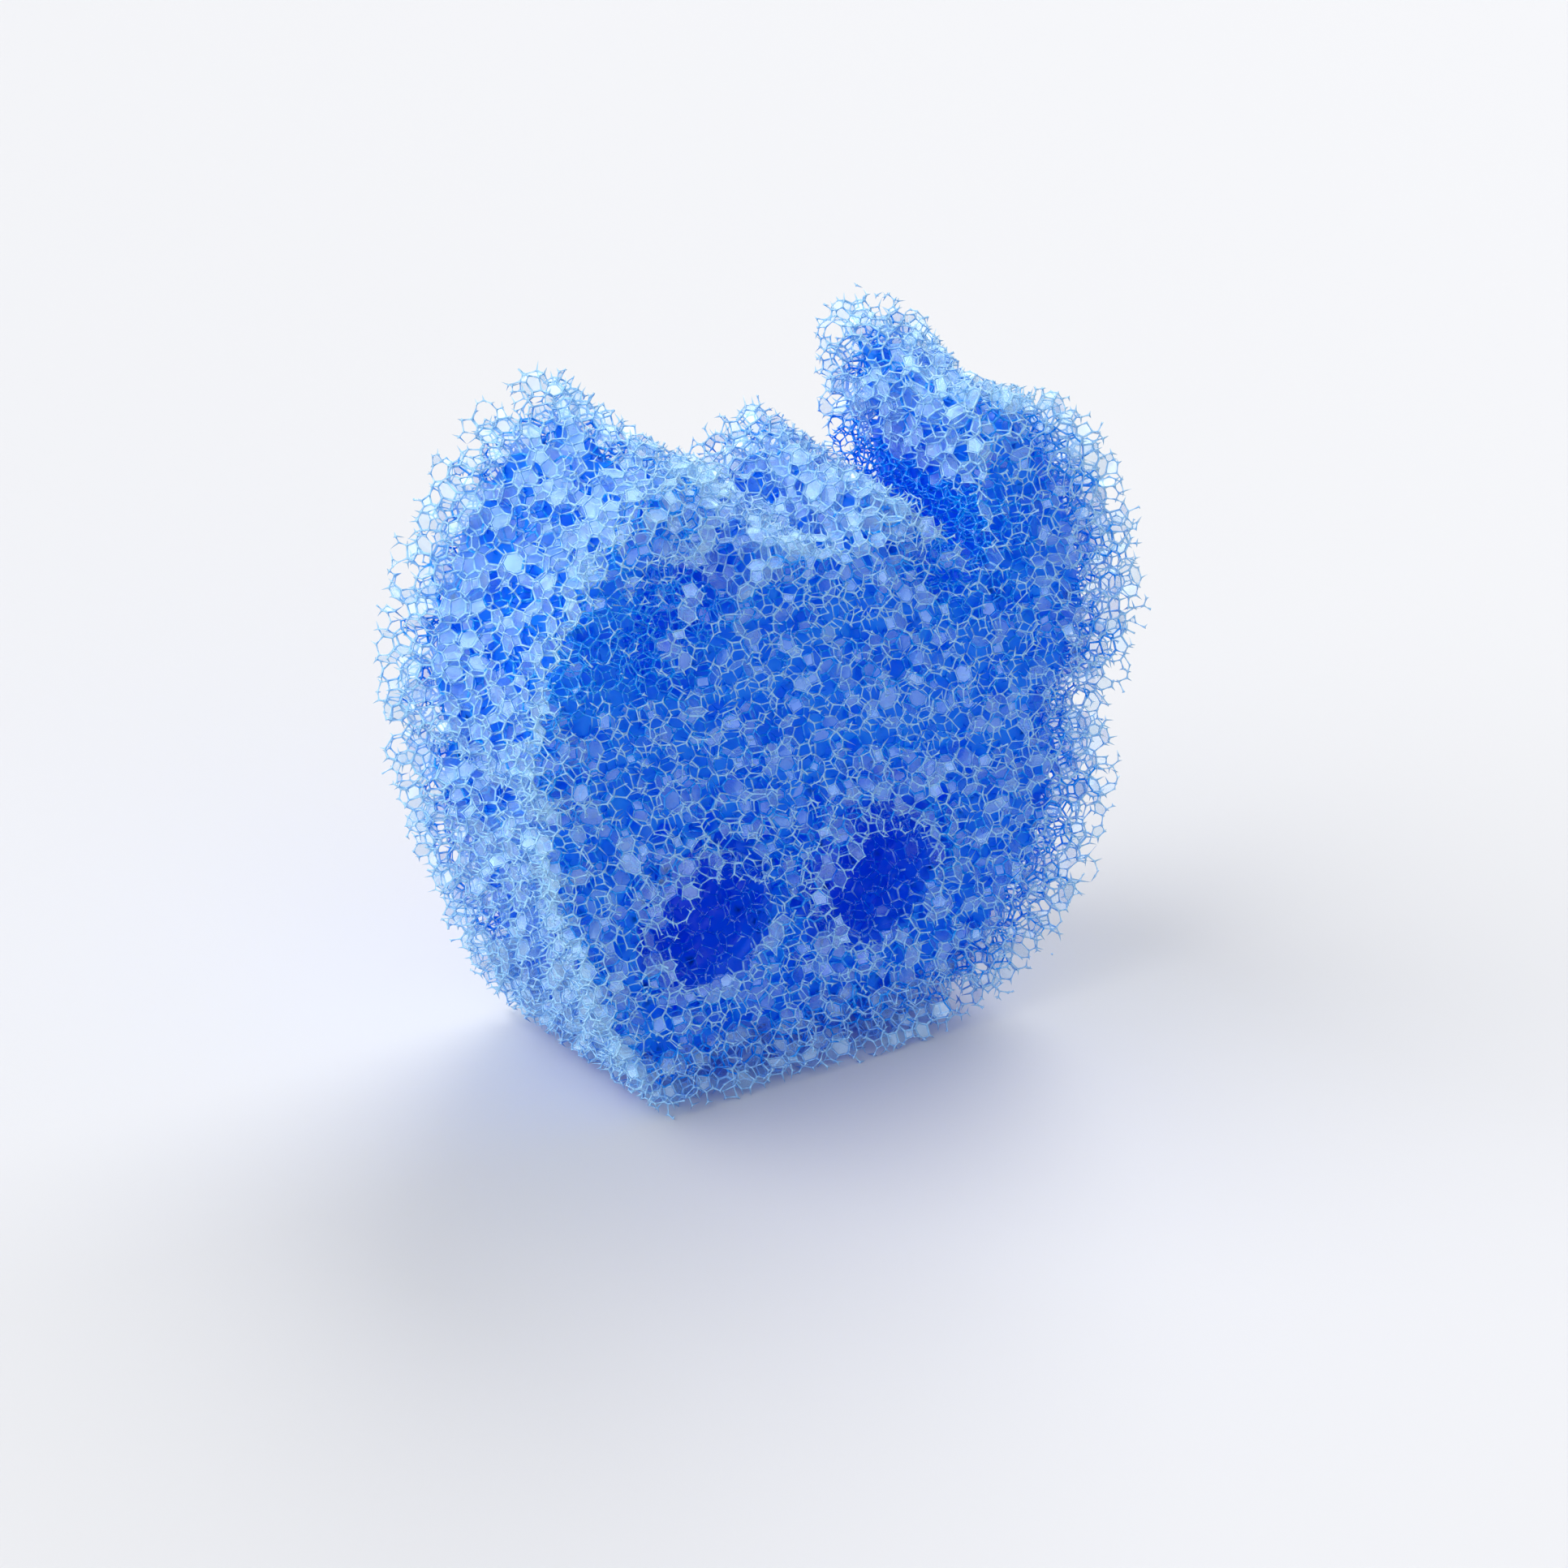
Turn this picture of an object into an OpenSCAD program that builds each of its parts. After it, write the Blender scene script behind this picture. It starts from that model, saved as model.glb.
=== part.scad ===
// Cleaning sponge cut from one block of open-cell foam, in the outline of an animal's head.
// It stands on its flat lower edge. X runs across the face, the face looks towards -Y, and Z is up.
// The origin is the middle of the flat lower edge, at half the block's thickness.

/* [Block] */
// Width over the cheeks
body_w = 110; // [90:1:140]
// Height from the table to the ear tips
body_h = 103; // [95:1:125]
// Thickness of the foam block, front face to back face
body_t = 38; // [20:1:60]
// Length of the flat lower edge that it stands on
base_w = 48; // [24:1:60]
// How far the ear tips sink at half thickness, where the soft block gave way to the cutter
wall_dish = 4.6; // [0:0.1:6]
// Height over which that hollow fades in above the table
dish_fade = 26; // [10:1:40]

/* [Jaw] */
// Fullness of the lower left corner, 0 for a straight slant and 1 for a round corner
jaw_full_left = 0.2; // [0:0.05:1.2]
// Fullness of the lower right corner
jaw_full_right = 1; // [0:0.05:1.2]

/* [Cheek notch] */
// Height of the left cheek's notch
notch_left_z = 50.8; // [42:0.1:56]
// Height of the right cheek's notch
notch_right_z = 46.6; // [42:0.1:56]
// Width of the notch's mouth
notch_w = 6; // [3:0.1:9]
// Depth of the notch
notch_deep = 3.6; // [1:0.1:8]
// How far the jaw below the notch stands in from the widest point
jaw_in = 2.4; // [0:0.1:6]
// How far the cheek above the notch stands in from the widest point
cheek_in = 1.2; // [0:0.1:6]
// How far above the notch the cheek is widest
widest_rise = 15.5; // [10:0.5:20]

/* [Ears] */
// Distance of each ear tip from the middle
ear_x = 27; // [22:0.1:32]
// Width of the blunt ear tip
ear_tip_w = 5.6; // [4:0.1:12]
// Drop from the ear tip to the corner on its inner side
ear_tip_drop = 6; // [3:0.1:9]

/* [Tuft between the ears] */
// Height of the valley beside each ear
valley_z = 74; // [66:0.1:80]
// Distance of each valley from the middle
valley_x = 26.6; // [22:0.1:32]
// Height of the tuft's right crest
tuft_z = 89.6; // [86:0.1:93]
// How much lower the left crest is
tuft_left_drop = 1.6; // [0:0.1:4]
// Distance from the tuft's middle to each crest
tuft_half = 10.5; // [7:0.1:12]
// Depth of the dip between the two crests
tuft_dip = 5.6; // [1:0.1:8]
// Run of the sloping step outside each crest
step_run = 8.8; // [3:0.1:12]
// Drop to that step
step_drop = 7.8; // [2:0.1:12]

/* [Eyes] */
// Diameter of each eye hole
eye_d = 16.4; // [8:0.2:20]
// Distance between the two eye centres
eye_gap = 29.4; // [24:0.2:40]
// Height of the eye centres above the table
eye_z = 27.6; // [22:0.2:34]
// How far the ears, the tuft and the eyes sit to the left of the block's middle
face_left = 2.5; // [0:0.1:4]

/* [Cut cells] */
// Distance between the cells of the foam that are cut open on the front and back faces
cell_pitch = 6.6; // [5:0.1:12]
// Width of a cut cell
cell_w = 4.4; // [2:0.1:5]
// Depth of a cut cell
cell_deep = 2.4; // [1:0.1:5]
// How far a cell strays from its place in the row
cell_stray = 0.6; // [0:0.1:1]
// Foam left between a cut cell and the edge of the face
cell_rim = 1.2; // [0.8:0.1:3]
// How deep the cells dent the cut walls
wall_dent = 1.1; // [0:0.1:1.5]

/* [Look] */
// Colour of the foam
foam_colour = [0.20, 0.47, 0.88];

/* [Hidden] */
eps = 0.5;                // how far a cutter runs past a face
curve_steps = 14;         // straight pieces in each long curve
tip_steps = 6;            // straight pieces in each ear tip
tuft_steps = 4;           // straight pieces between two points of the tuft
stations = 13;            // rings of the skin from the front face to the back
round_steps = 96;         // $fn of the eye holes
cell_corners = 5;         // corners of a cut cell
front_seed = 3;           // where the cells of the front face stray to
back_seed = 8;            // the same for the back face
wall_centre = [0, 50];    // the cut walls sink towards this point
firm_r = 36;              // nearer to that point than this they stay straight
limp_r = 61;              // as far from it as this they sink in full
close_space = 0.8;        // outline points this close together are not dented
wide_space = 2.4;         // points as far apart as this are dented in full

half_w = body_w / 2;
jaw_lip_x = half_w - jaw_in;
cheek_lip_x = half_w - cheek_in;
notch_floor_x = (jaw_lip_x + cheek_lip_x) / 2 - notch_deep;

// Ear: handles of the cheek, of the long outer curve, of the blunt tip and of the inner side
cheek_lean = [0.9, 4];
cheek_under = [0, -5];
cheek_over = [0, 11];
shoulder_reach = [19.5, -1.5];
tip_pull = 3;
inner_bow = [0.6, 4.6];

// Jaw: handles of the lower corner's curve, for a straight slant and for a round corner
slant_low = [9, 8];
slant_high = [-10.5, -14.5];
round_low = [20, 3];
round_high = [5.5, -26.7];

// Each part of the model is drawn by the module of the same name

// Point at t of 0 to 1 on the cubic curve with ends a and d and handles b and c
function cubic(a, b, c, d, t) =
    a * pow(1 - t, 3) + b * 3 * t * pow(1 - t, 2) + c * 3 * t * t * (1 - t) + d * pow(t, 3);

// Points of that curve from a up to, but not including, d
function curve(a, b, c, d, steps) = [for (i = [0 : steps - 1]) cubic(a, b, c, d, i / steps)];

// Point at t between b and c on the smooth line that passes through a, b, c and d
function spline(a, b, c, d, t) =
    (2 * b + (c - a) * t + (2 * a - 5 * b + 4 * c - d) * t * t + (3 * b - a - 3 * c + d) * pow(t, 3)) / 2;

// Smooth line through all the points p, without the last of them
function smooth(p, steps) = [
    for (i = [0 : len(p) - 2], k = [0 : steps - 1])
        spline(p[max(i - 1, 0)], p[i], p[i + 1], p[min(i + 2, len(p) - 1)], k / steps)
];

// The same points on the other side of the middle, in the opposite order
function mirrored(p) = [for (i = [len(p) - 1 : -1 : 0]) [-p[i][0], p[i][1]]];

// Lower corner from the flat edge up to the notch at height notch_z, for a fullness of 0 to 1
function jaw(full, notch_z) =
    let (foot = [base_w / 2, 0],
         lip = [jaw_lip_x, notch_z - notch_w / 2],
         low = foot + slant_low + (round_low - slant_low) * full,
         high = lip + slant_high + (round_high - slant_high) * full)
    concat(curve(foot, low, high, lip, curve_steps), [lip, [notch_floor_x, notch_z]]);

// Cheek and ear from the notch over the tip and down to the valley, for an ear moved out by shift
function ear(shift, notch_z) =
    let (lip = [cheek_lip_x, notch_z + notch_w / 2],
         widest = [half_w, notch_z + widest_rise],
         top = [ear_x + shift, body_h],
         corner = top - [ear_tip_w, ear_tip_drop],
         valley = [valley_x + shift, valley_z])
    concat(
        curve(lip, lip + cheek_lean, widest + cheek_under, widest, tip_steps),
        curve(widest, widest + cheek_over, top + shoulder_reach, top, curve_steps),
        curve(top, top - [ear_tip_w - tip_pull, 0], corner + [-inner_bow[0], tip_pull], corner, tip_steps),
        curve(corner, corner + [inner_bow[0], -inner_bow[1]], valley + [-tip_pull, 2 * inner_bow[1]],
              valley, curve_steps / 2)
    );

// Tuft from the right valley to the left one
crest_right = [tuft_half - face_left, tuft_z];
crest_left = [-tuft_half - face_left, tuft_z - tuft_left_drop];
tuft = smooth([
    [valley_x - face_left, valley_z],
    crest_right + [step_run, -step_drop],
    crest_right,
    [-face_left, tuft_z - tuft_dip],
    crest_left,
    crest_left + [-step_run, -step_drop],
    [-valley_x - face_left, valley_z]
], tuft_steps);

outline = concat(
    jaw(jaw_full_right, notch_right_z),
    ear(-face_left, notch_right_z),
    tuft,
    mirrored(concat(ear(face_left, notch_left_z), [[valley_x + face_left, valley_z]])),
    mirrored(jaw(jaw_full_left, notch_left_z))
);

// Share of s that lies between 0 and 1
function share(s) = min(max(s, 0), 1);

// Smooth step from 0 on the table to 1 at the height dish_fade
function fade(z) = let (s = share(z / dish_fade)) s * s * (3 - 2 * s);

// Outline point p moved in for the ring at depth y
function sunk(p, y) =
    let (to_centre = wall_centre - p,
         limp = share((norm(to_centre) - firm_r) / (limp_r - firm_r)),
         depth = wall_dish * (1 - pow(2 * y / body_t, 2)) * limp * fade(p[1]))
    p + to_centre / norm(to_centre) * depth;

// How far point i of ring s is dented: every second point, less where the points stand close together,
// and not at all at the two faces or on the table
function dent(i, s) =
    let (n = len(outline), space = norm(outline[(i + 1) % n] - outline[(i + n - 1) % n]) / 2)
    (i + s) % 2 == 0 && s > 0 && s < stations - 1
        ? wall_dent * share((space - close_space) / (wide_space - close_space)) * fade(outline[i][1]) : 0;

// Skin of the cut walls, from a little in front of the front face to a little behind the back
module wall_skin() {
    count = len(outline);
    length = body_t + 2 * eps;
    rings = [
        for (s = [0 : stations - 1], i = [0 : count - 1])
            let (y = length * (s / (stations - 1) - 0.5),
                 q = sunk(outline[i], y),
                 to_centre = wall_centre - q,
                 r = q + to_centre / norm(to_centre) * dent(i, s))
            [r[0], y, r[1]]
    ];
    front = [for (i = [count - 1 : -1 : 0]) i];
    back = [for (i = [0 : count - 1]) (stations - 1) * count + i];
    wall = [
        for (s = [0 : stations - 2], i = [0 : count - 1])
            let (j = (i + 1) % count, a = s * count, b = a + count)
            each [[a + i, a + j, b + j], [a + i, b + j, b + i]]
    ];
    polyhedron(points = rings, faces = concat([front, back], wall), convexity = 12);
}

// Block with the head's outline, hollowed cut walls and two flat faces
module foam_block() {
    intersection() {
        wall_skin();
        translate([-body_w, -body_t / 2, -body_h])
            cube([2 * body_w, body_t, 3 * body_h]);
    }
}

// Round hole from the front face to the back face
module eye_hole() {
    translate([0, body_t / 2 + eps, eye_z])
        rotate([90, 0, 0])
            cylinder(d = eye_d, h = body_t + 2 * eps, $fn = round_steps);
}

// Distance from point p to the straight line from a to b
function line_gap(p, a, b) = let (ab = b - a) norm(p - a - ab * share((p - a) * ab / (ab * ab)));

// Ends of the outline's straight piece number i
function piece(i) = [outline[i], outline[(i + 1) % len(outline)]];

// True if the line from p to the right crosses the piece from a to b
function crosses(p, a, b) =
    (a[1] > p[1]) != (b[1] > p[1]) && p[0] < a[0] + (p[1] - a[1]) / (b[1] - a[1]) * (b[0] - a[0]);

// True if a cell at p lies on the face, clear of its edge and of both eyes
function on_face(p) =
    let (ends = [for (i = [0 : len(outline) - 1]) piece(i)],
         clear = cell_w / 2 + cell_rim)
    len([for (e = ends) if (crosses(p, e[0], e[1])) 1]) % 2 == 1
    && min([for (e = ends) line_gap(p, e[0], e[1])]) > clear
    && min([for (side = [-1, 1]) norm(p - [side * eye_gap / 2 - face_left, eye_z])]) > eye_d / 2 + clear;

// Cells of one face: staggered rows, each cell strayed a little, as a slab from z of 0 to cell_deep + eps
module cut_cells(seed) {
    row_pitch = cell_pitch * sqrt(3) / 2;
    rows = ceil(body_h / row_pitch);
    columns = ceil(half_w / cell_pitch);
    stray = rands(-cell_stray, cell_stray, 4 * (rows + 1) * (columns + 1), seed);
    linear_extrude(cell_deep + eps)
        for (row = [0 : rows], column = [-columns : columns]) {
            k = 2 * (row * (2 * columns + 1) + column + columns);
            spot = [(column + row % 2 / 2) * cell_pitch + stray[k], row * row_pitch + stray[k + 1]];
            if (on_face(spot))
                translate(spot)
                    rotate(360 * stray[k])
                        circle(d = cell_w, $fn = cell_corners);
        }
}

// The whole sponge is one piece of foam
module sponge_body() {
    color(foam_colour)
        difference() {
            foam_block();
            for (side = [-1, 1])
                translate([side * eye_gap / 2 - face_left, 0, 0])
                    eye_hole();
            translate([0, cell_deep - body_t / 2, 0])
                rotate([90, 0, 0])
                    cut_cells(front_seed);
            translate([0, body_t / 2 + eps, 0])
                rotate([90, 0, 0])
                    cut_cells(back_seed);
        }
}

sponge_body();
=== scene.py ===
# %% [markdown]
# A cleaning sponge cut from blue open-cell foam, in the outline of an animal's head.
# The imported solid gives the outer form, with flat faces, hollowed cut walls and two eye holes.
# What makes it look like foam is much finer: a net of blue struts round bubbles a few millimetres wide,
# thin clear films across some of the openings, and a depth where light gets lost.
# Each step below builds one of these and says why it is made that way.

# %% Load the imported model
import math
from itertools import combinations

import bpy
import numpy as np
from mathutils import Matrix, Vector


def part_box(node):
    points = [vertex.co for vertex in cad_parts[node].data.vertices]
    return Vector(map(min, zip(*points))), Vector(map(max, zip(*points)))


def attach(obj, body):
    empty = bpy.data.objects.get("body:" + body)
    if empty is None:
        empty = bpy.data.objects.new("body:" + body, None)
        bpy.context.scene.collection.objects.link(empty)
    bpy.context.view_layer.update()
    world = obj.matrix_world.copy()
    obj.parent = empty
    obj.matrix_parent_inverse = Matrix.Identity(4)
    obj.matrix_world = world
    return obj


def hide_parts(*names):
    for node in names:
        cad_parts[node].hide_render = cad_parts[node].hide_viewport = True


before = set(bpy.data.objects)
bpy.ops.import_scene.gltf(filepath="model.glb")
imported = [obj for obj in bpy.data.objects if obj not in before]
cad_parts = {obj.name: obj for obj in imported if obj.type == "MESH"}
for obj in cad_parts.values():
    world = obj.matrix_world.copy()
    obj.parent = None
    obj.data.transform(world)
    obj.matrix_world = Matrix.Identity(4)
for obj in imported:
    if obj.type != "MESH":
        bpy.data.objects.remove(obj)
bpy.context.view_layer.update()
MM = 0.001
low, high = (np.array(corner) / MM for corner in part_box("sponge_body"))
half_t = high[1]
print("block of foam, in mm:", low.round(1).tolist(), high.round(1).tolist())

# %% [markdown]
# The camera.
# A photograph is matched by three turns and a place. The turns are its bearing round the object, its height
# above the horizon and its tilt to the side. The place is where the object's origin lies in the camera's own
# axes, to the right, up and in front of it. A long lens far away keeps the outline nearly parallel.

# %% Camera
PHOTO_WIDTH = 1932
FOCAL_PIXELS = 12000
BEARING, HEIGHT, TILT = math.radians(-41.12), math.radians(27.0), math.radians(6.106)
ORIGIN_SEEN = np.array([-8.682, -33.933, -1381.832]) * MM
SENSOR_MM = 36
NEAR_CLIP, FAR_CLIP = 0.05, 20


def camera_axes(bearing, height, tilt):
    """Right, up and back of the camera as rows. Back points from the object to the camera, right is level,
    up is their cross product, and the tilt turns right and up about back."""
    level = np.array([math.cos(bearing), math.sin(bearing), 0])
    out = np.array([math.sin(bearing), -math.cos(bearing), 0])
    back = out * math.cos(height) + np.array([0, 0, math.sin(height)])
    rise = np.cross(back, level)
    right = level * math.cos(tilt) + rise * math.sin(tilt)
    return np.array([right, rise * math.cos(tilt) - level * math.sin(tilt), back])


axes = camera_axes(BEARING, HEIGHT, TILT)
place = -axes.T @ ORIGIN_SEEN
camera = bpy.data.objects.new("camera", bpy.data.cameras.new("camera"))
camera.data.sensor_width = SENSOR_MM
camera.data.lens = SENSOR_MM * FOCAL_PIXELS / PHOTO_WIDTH
camera.data.clip_start, camera.data.clip_end = NEAR_CLIP, FAR_CLIP
camera.matrix_world = Matrix([[*axes[:, i], place[i]] for i in range(3)] + [[0, 0, 0, 1]])
bpy.context.scene.collection.objects.link(camera)
bpy.context.scene.camera = camera
print("camera at", np.round(place, 3).tolist(), "with a lens of", round(camera.data.lens), "mm")

# %% [markdown]
# How deep a point lies in the foam.
# Everything below asks one question of many points at once: how far is this point under the nearest face?
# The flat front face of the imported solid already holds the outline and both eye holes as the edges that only
# one triangle uses. The distance to those edges goes into a square table once, and later points look it up.
# The cells that are cut open on the two faces have such edges too. They show up again round the flat floor of
# each cell, which tells them apart, and they get a table for each face.
# The walls were cut while the soft block gave way, so they sink at half thickness. A point of such a wall is
# first moved back out to where it lay before, and then looked up.

# %% Outline and cut cells
TOUCH = 0.01
CELL_DEEP = 2.4
triangle_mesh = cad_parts["sponge_body"].data
triangle_mesh.calc_loop_triangles()
corners = np.empty(len(triangle_mesh.vertices) * 3)
triangle_mesh.vertices.foreach_get("co", corners)
numbers = np.empty(len(triangle_mesh.loop_triangles) * 3, np.int32)
triangle_mesh.loop_triangles.foreach_get("vertices", numbers)
triangles = corners.reshape(-1, 3)[numbers].reshape(-1, 3, 3) / MM


def face_edges(triangles, y):
    """Edges of the flat face at y that only one of its triangles has, as x and z of their two ends."""
    flat = triangles[np.abs(triangles[:, :, 1] - y).max(axis=1) < TOUCH][:, :, [0, 2]]
    edges = np.stack([flat, np.roll(flat, -1, axis=1)], axis=2).reshape(-1, 4).round(3)
    turned = (edges[:, 0] > edges[:, 2]) | ((edges[:, 0] == edges[:, 2]) & (edges[:, 1] > edges[:, 3]))
    edges[turned] = edges[turned][:, [2, 3, 0, 1]]
    found, count = np.unique(edges, axis=0, return_counts=True)
    return found[count == 1].reshape(-1, 2, 2)


front_cells = face_edges(triangles, CELL_DEEP - half_t)
back_cells = face_edges(triangles, half_t - CELL_DEEP)
both = np.concatenate([face_edges(triangles, -half_t), front_cells])
edges, count = np.unique(both, axis=0, return_counts=True)
outline = edges[count == 1]
print(len(outline), "edges bound the front face, and", len(front_cells), "its cut cells")

# %% Table of depths inside the outline
TABLE_STEP = 0.4
TABLE_MARGIN = 8


def depth_row(x, z, edges):
    """Distance of each point (x, z) of a row to the nearest edge, positive inside by the even-odd rule."""
    start, along = edges[:, 0], edges[:, 1] - edges[:, 0]
    to_x, to_z = x[:, None] - start[:, 0], z - start[:, 1]
    share = np.clip((to_x * along[:, 0] + to_z * along[:, 1]) / (along ** 2).sum(axis=1), 0, 1)
    gap = np.hypot(to_x - share * along[:, 0], to_z - share * along[:, 1]).min(axis=1)
    spans = (edges[:, 0, 1] > z) != (edges[:, 1, 1] > z)
    meets = start[spans, 0] + (z - start[spans, 1]) / along[spans, 1] * along[spans, 0]
    inside = (x[:, None] < meets).sum(axis=1) % 2
    return np.where(inside, gap, -gap)


table_x = np.arange(low[0] - TABLE_MARGIN, high[0] + TABLE_MARGIN, TABLE_STEP)
table_z = np.arange(low[2] - TABLE_MARGIN, high[2] + TABLE_MARGIN, TABLE_STEP)
wall_table, front_table, back_table = (
    np.array([depth_row(table_x, z, edges) for z in table_z]) for edges in (outline, front_cells, back_cells))
print("tables of depths", wall_table.shape, "deepest", round(wall_table.max(), 1), "mm")

# %% Depth of any point
WALL_CENTRE = (0, 50)
WALL_DISH, DISH_FADE = 4.6, 26
FIRM_R, LIMP_R = 36, 61
SINK_ROUNDS = 3
LAST_CELL = 1.001
TINY = 1e-9


def look_up(table, x, z):
    """The table's value at each point, blended from its four nearest entries. A point past the table's edge
    takes the value at that edge."""
    column = np.clip((x - table_x[0]) / TABLE_STEP, 0, len(table_x) - LAST_CELL)
    row = np.clip((z - table_z[0]) / TABLE_STEP, 0, len(table_z) - LAST_CELL)
    c, r = column.astype(int), row.astype(int)
    u, v = column - c, row - r
    lower = table[r, c] * (1 - u) + table[r, c + 1] * u
    upper = table[r + 1, c] * (1 - u) + table[r + 1, c + 1] * u
    return lower * (1 - v) + upper * v


def before_sinking(x, y, z):
    """Where a point lay before the walls sank. A wall point p moved towards the centre by dish times
    one minus the square of y over the half thickness, times how far out p is, times a smooth fade above the
    foot. That step is worked out at the last guess for p and taken back, a few times over."""
    from_x, from_z = x, z
    for _ in range(SINK_ROUNDS):
        out_x, out_z = from_x - WALL_CENTRE[0], from_z - WALL_CENTRE[1]
        out = np.hypot(out_x, out_z) + TINY
        limp = np.clip((out - FIRM_R) / (LIMP_R - FIRM_R), 0, 1)
        rise = np.clip(from_z / DISH_FADE, 0, 1)
        sink = WALL_DISH * np.clip(1 - (y / half_t) ** 2, 0, 1) * limp * rise ** 2 * (3 - 2 * rise)
        from_x, from_z = x + out_x / out * sink, z + out_z / out * sink
    return from_x, from_z


def wall_depth(points):
    """Depth under the cut walls and the walls of the eye holes."""
    x, y, z = points.T
    return look_up(wall_table, *before_sinking(x, y, z))


def cell_gap(points):
    """Distance to the nearest cut cell, negative in one: the larger of the gaps to its side and its floor,
    or the two as the sides of a right-angled triangle where both are positive."""
    x, y, z = points.T
    aside = -np.where(y < 0, look_up(front_table, x, z), look_up(back_table, x, z))
    below = half_t - np.abs(y) - CELL_DEEP
    return np.where((aside > 0) & (below > 0), np.hypot(aside, below), np.maximum(aside, below))


def depth(points):
    """Depth under the nearest face, wall or cut cell of the block, negative outside the foam."""
    return np.minimum(np.minimum(half_t - np.abs(points[:, 1]), wall_depth(points)), cell_gap(points))


# %% [markdown]
# The reach of the eye.
# Foam gets dark with depth, and past a few millimetres its cells can't be told apart. The net is built as
# deep as one can see, and a plain surface, painted dark as shade, takes over below it. Near an edge one sees
# in from two sides, so there that surface stays further in. A smooth minimum of the two depths does this: the
# smaller one, less a quarter of the blend where both are equal. Little light gets into the eye holes, so their
# walls show less of the net, and round each of them a sleeve of the dark surface comes closer, as painted
# shade.

# %% Where the net ends
NET_DEEP = 4.7
EDGE_BLEND = 7
BACK_SHARE = 1.3
EYES, EYE_R, EYE_Z = (-17.2, 12.2), 8.2, 27.6
EYE_NET, SLEEVE = 2.2, 6.5


def from_axes(points, places, height):
    """Distance to the nearest of the lines that run from face to face at those places and that height."""
    return np.min([np.hypot(points[:, 0] - place, points[:, 2] - height) for place in places], axis=0)


def past_net(points):
    """How far a point lies below the net: by the smooth minimum of the depths under the flat faces and under
    the walls, or in the sleeve round an eye hole, whichever is more. The back counts its depth more, so its
    net is thinner."""
    y = points[:, 1]
    flat = np.where(y < 0, half_t + y, (half_t - y) * BACK_SHARE)
    wall = wall_depth(points)
    blend = np.clip(EDGE_BLEND - np.abs(flat - wall), 0, None) / EDGE_BLEND
    beyond = from_axes(points, EYES, EYE_Z) - EYE_R
    sleeve = np.min([beyond - EYE_NET, SLEEVE - beyond, flat - NET_DEEP], axis=0)
    return np.maximum(np.minimum(flat, wall) - blend ** 2 * EDGE_BLEND / 4 - NET_DEEP, sleeve)


# %% [markdown]
# The bubbles.
# Foam is made by bubbles that grow until they press on each other. Their walls then lie halfway between
# neighbours, which is the pattern named after Voronoi. Bubble centres come from a close packing of points,
# turned so that no row lines up with a face, and each shaken a little. An even packing gives bubbles of like
# size, and the shaking gives them five- and six-sided openings in no order.

# %% Bubble centres
CELL = 3.75
SHAKE = 0.95
LATTICE_TURN = (0.5, 0.8, 0.3)
MARGIN = 1.2 * CELL
rng = np.random.default_rng(9)


def turn_matrix(about_x, about_y, about_z):
    """Product of three turns about the axes, in radians."""
    turns = []
    for axis, angle in enumerate((about_x, about_y, about_z)):
        i, j = [k for k in range(3) if k != axis]
        turn = np.eye(3)
        turn[i, i] = turn[j, j] = math.cos(angle)
        turn[i, j], turn[j, i] = -math.sin(angle), math.sin(angle)
        turns.append(turn)
    return turns[2] @ turns[1] @ turns[0]


def bubble_centres(low, high):
    """Body-centred cubic points in a box: the corners and middles of cubes, turned, and shaken at random."""
    count = int(np.linalg.norm(high - low) / 2 / CELL) + 2
    steps = np.arange(-count, count + 1)
    cubes = np.stack(np.meshgrid(steps, steps, steps, indexing="ij"), axis=-1).reshape(-1, 3)
    points = np.concatenate([cubes, cubes + 0.5]) * CELL @ turn_matrix(*LATTICE_TURN).T + (low + high) / 2
    points = points[((points > low) & (points < high)).all(axis=1)]
    return points + rng.uniform(-SHAKE, SHAKE, points.shape)


centres = bubble_centres(low - MARGIN, high + MARGIN)
centres = centres[(depth(centres) > -MARGIN) & (past_net(centres) < MARGIN)]
print(len(centres), "bubbles of about", round(CELL ** 3 / 2, 1), "cubic mm each")

# %% [markdown]
# Where four bubbles meet.
# A corner of the net is a point as far from four bubble centres as from each other, with no centre nearer.
# For each bubble, every three of its near neighbours give one such point by three linear equations, solved
# here with cross products for all of them at once. The point counts if no other neighbour is nearer. Each
# corner is found once, from the bubble with the lowest number.

# %% Neighbours and corners
NEAR = 22
CHUNK = 600
WIDEST = 0.85 * CELL
EMPTY_SLACK = 1e-7


def nearest(points, count):
    """Numbers of the nearest other points, by squared distances worked out a block of rows at a time."""
    square = (points ** 2).sum(axis=1)
    found = []
    for start in range(0, len(points), CHUNK):
        rows = points[start:start + CHUNK]
        gaps = square - 2 * rows @ points.T
        gaps[np.arange(len(rows)), start + np.arange(len(rows))] = np.inf
        found.append(np.argpartition(gaps, count, axis=1)[:, :count])
    return np.concatenate(found)


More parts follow.
